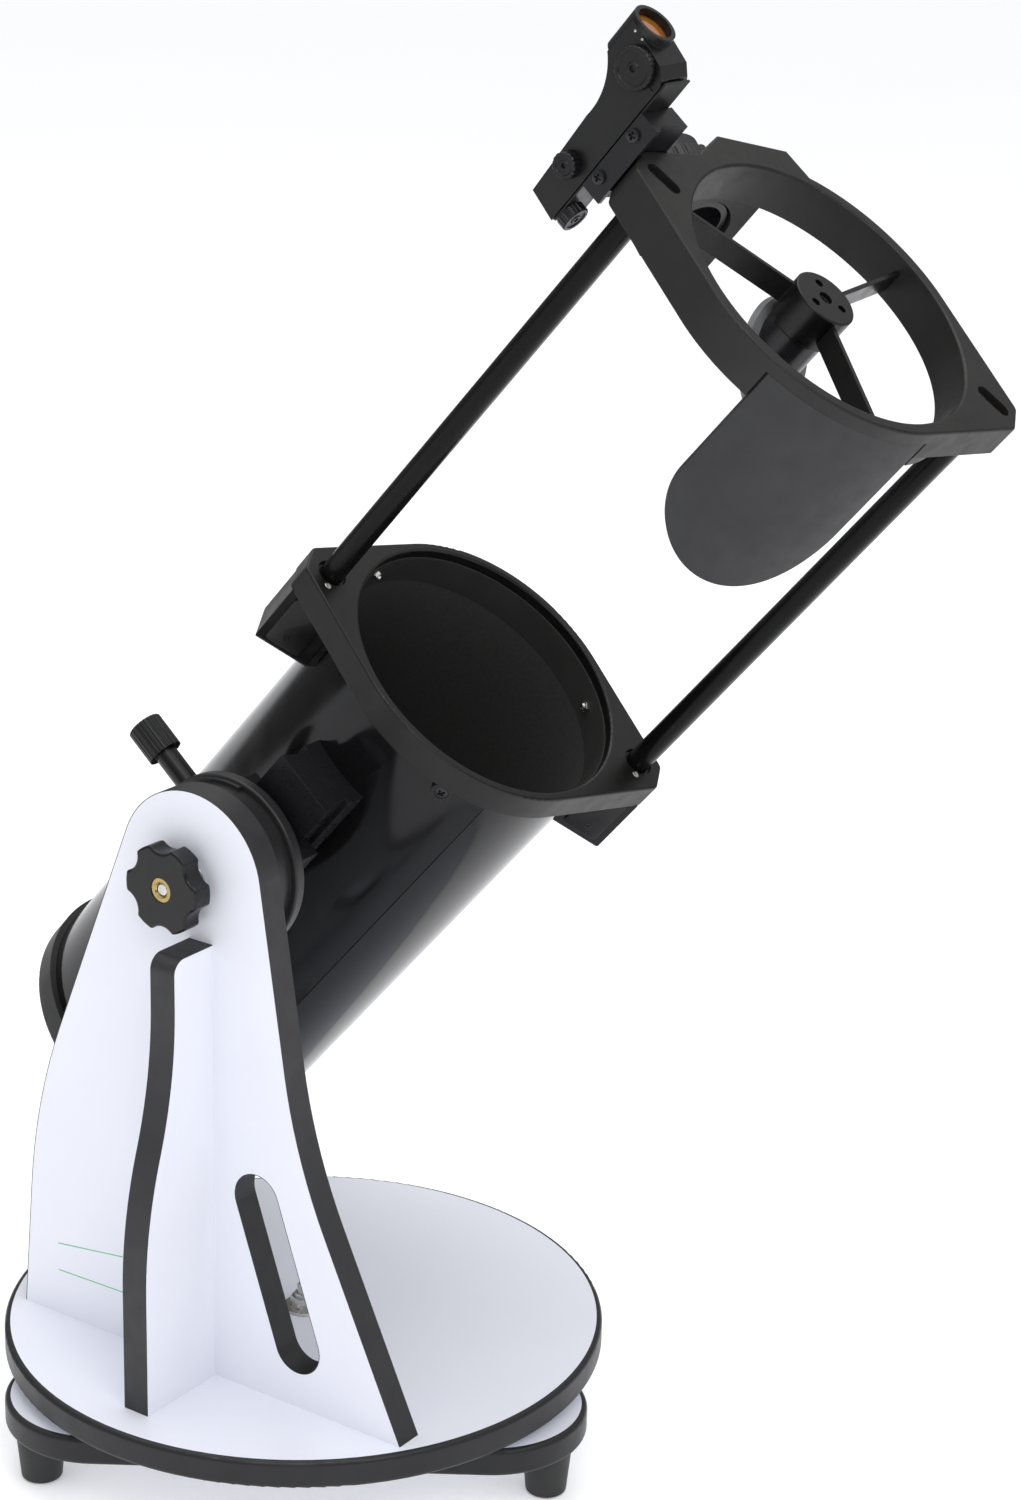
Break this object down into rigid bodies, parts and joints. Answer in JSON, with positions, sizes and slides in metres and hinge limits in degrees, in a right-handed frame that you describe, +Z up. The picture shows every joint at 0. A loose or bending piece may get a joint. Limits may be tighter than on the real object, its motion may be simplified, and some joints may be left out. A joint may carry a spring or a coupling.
{
  "type": "dobsonian telescope",
  "caption": "Tabletop reflecting telescope with a collapsible two-rod tube on a one-arm rocker base that turns and tilts.",
  "frame": {"origin": "centre of the azimuth pivot, on the surface that the feet stand on", "axes": "+Z up along the azimuth pivot; the tube points towards -Y; the arm stands on the -X side"},
  "size_m": [0.3789, 0.6367, 0.9013],
  "materials": {
    "white_board": "white melamine facing, smooth satin",
    "black_edging": "satin black plastic edging",
    "black_rubber": "matt black rubber",
    "black_gloss_steel": "gloss black enamel on steel",
    "black_plastic": "fine-textured satin black moulded plastic",
    "black_aluminium": "black anodised",
    "black_steel": "blackened steel",
    "bright_steel": "zinc-plated bright steel",
    "brass": "machined brass",
    "mirror_glass": "aluminised polished glass",
    "amber_glass": "amber coated glass",
    "lamp_plastic": "clear red lamp"
  },
  "bodies": {
    "ground_base": {"ground_board": "white_board", "ground_board_edging": "black_edging", "feet": "black_rubber", "foot_screws": "bright_steel", "azimuth_glides": "black_rubber", "pivot_bolt": "bright_steel", "pivot_nut": "bright_steel"},
    "turntable": {"turntable_board": "white_board", "turntable_edging": "black_edging", "board_screws": "bright_steel", "side_panel": "white_board", "side_panel_banding": "black_edging", "brace_panel": "white_board", "brace_banding": "black_edging", "arm_bush": "black_aluminium", "bearing_plate": "black_plastic", "friction_pad": "black_rubber", "knob_washer": "bright_steel"},
    "optical_tube": {"altitude_disc": "black_plastic", "altitude_bolt": "bright_steel", "saddle": "black_aluminium", "dovetail_bar": "black_aluminium", "tube": "black_gloss_steel", "front_collar": "black_plastic", "rod_bushes": "black_plastic", "stop_screws": "bright_steel", "collar_screws": "black_steel", "housing_covers": "black_plastic", "rear_cell": "black_plastic", "mirror_cell": "black_aluminium", "mirror_pads": "black_plastic", "primary_mirror": "mirror_glass", "mirror_clips": "black_plastic", "collimation_screws": "black_steel", "collimation_springs": "bright_steel", "lock_screws": "black_steel"},
    "altitude_knob": {"altitude_knob": "black_plastic", "knob_insert": "brass"},
    "clamp_screw": {"clamp_screw": "black_plastic"},
    "truss": {"truss_rods": "black_gloss_steel", "upper_ring": "black_plastic", "rod_screws": "black_steel", "baffle": "black_plastic", "spider": "black_plastic", "secondary_screws": "black_steel", "secondary_holder": "black_aluminium", "secondary_mirror": "mirror_glass", "focuser_base": "black_plastic", "finder_bracket": "black_plastic", "bracket_screws": "black_steel"},
    "focus_ring": {"focus_ring": "black_plastic"},
    "drawtube": {"drawtube": "black_aluminium"},
    "eyepiece_screw": {"eyepiece_screw": "black_plastic"},
    "finder_yoke": {"finder_yoke": "black_plastic"},
    "finder": {"finder_body": "black_plastic", "finder_window": "amber_glass", "finder_lamp": "lamp_plastic"},
    "finder_switch": {"finder_switch": "black_plastic"},
    "finder_side_knob": {"finder_side_knob": "black_plastic"},
    "finder_under_knob": {"finder_under_knob": "black_plastic"}
  },
  "joints": [
    {"name": "azimuth_turn", "type": "hinge", "parent": "ground_base", "child": "turntable", "pos_m": [0, 0, 0.063], "axis": [0, 0, 1], "continuous": true},
    {"name": "altitude_tilt", "type": "hinge", "parent": "turntable", "child": "optical_tube", "pos_m": [-0.09, 0.011, 0.391], "axis": [-1, 0, 0], "range_deg": [-49.2, 40.8]},
    {"name": "altitude_knob_turn", "type": "hinge", "parent": "turntable", "child": "altitude_knob", "pos_m": [-0.112, 0.011, 0.391], "axis": [-1, 0, 0], "range_deg": [0, 360]},
    {"name": "clamp_screw_turn", "type": "hinge", "parent": "optical_tube", "child": "clamp_screw", "pos_m": [-0.0486, 0.07058, 0.44441], "axis": [0, 0.757, 0.6534], "range_deg": [0, 360]},
    {"name": "truss_slide", "type": "slide", "parent": "optical_tube", "child": "truss", "axis": [0, -0.6534, 0.757], "range_m": [-0.3, 0]},
    {"name": "focus_turn", "type": "hinge", "parent": "truss", "child": "focus_ring", "pos_m": [0.11625, -0.17163, 0.79214], "axis": [0.3256, 0.7158, 0.6178], "range_deg": [-126, 606]},
    {"name": "focus_slide", "type": "slide", "parent": "truss", "child": "drawtube", "axis": [0.3256, 0.7158, 0.6178], "range_m": [-0.002, 0.01]},
    {"name": "eyepiece_screw_turn", "type": "hinge", "parent": "drawtube", "child": "eyepiece_screw", "pos_m": [0.14663, -0.16995, 0.7936], "axis": [0.9455, -0.2465, -0.2127], "range_deg": [0, 360]},
    {"name": "finder_swing", "type": "hinge", "parent": "truss", "child": "finder_yoke", "pos_m": [0.0186, -0.20239, 0.82768], "axis": [0, 0.757, 0.6534], "range_deg": [-2, 2]},
    {"name": "finder_tilt", "type": "hinge", "parent": "finder_yoke", "child": "finder", "pos_m": [0.0186, -0.226, 0.86146], "axis": [1, 0, 0], "range_deg": [0, 2]},
    {"name": "finder_switch_turn", "type": "hinge", "parent": "finder", "child": "finder_switch", "pos_m": [0.0036, -0.21578, 0.87028], "axis": [-1, 0, 0], "range_deg": [0, 270]},
    {"name": "finder_side_knob_turn", "type": "hinge", "parent": "finder", "child": "finder_side_knob", "pos_m": [0.0036, -0.17514, 0.81554], "axis": [-1, 0, 0], "range_deg": [-180, 180]},
    {"name": "finder_under_knob_turn", "type": "hinge", "parent": "finder_yoke", "child": "finder_under_knob", "pos_m": [0.0116, -0.17444, 0.78642], "axis": [0, 0.757, 0.6534], "range_deg": [0, 360]}
  ],
  "couplings": [
    {"joint": "focus_turn", "follows": "focus_slide", "rad_per_m": 1047.2},
    {"joint": "finder_side_knob_turn", "follows": "finder_swing", "ratio": 90},
    {"joint": "finder_under_knob_turn", "follows": "finder_tilt", "ratio": 180}
  ]
}
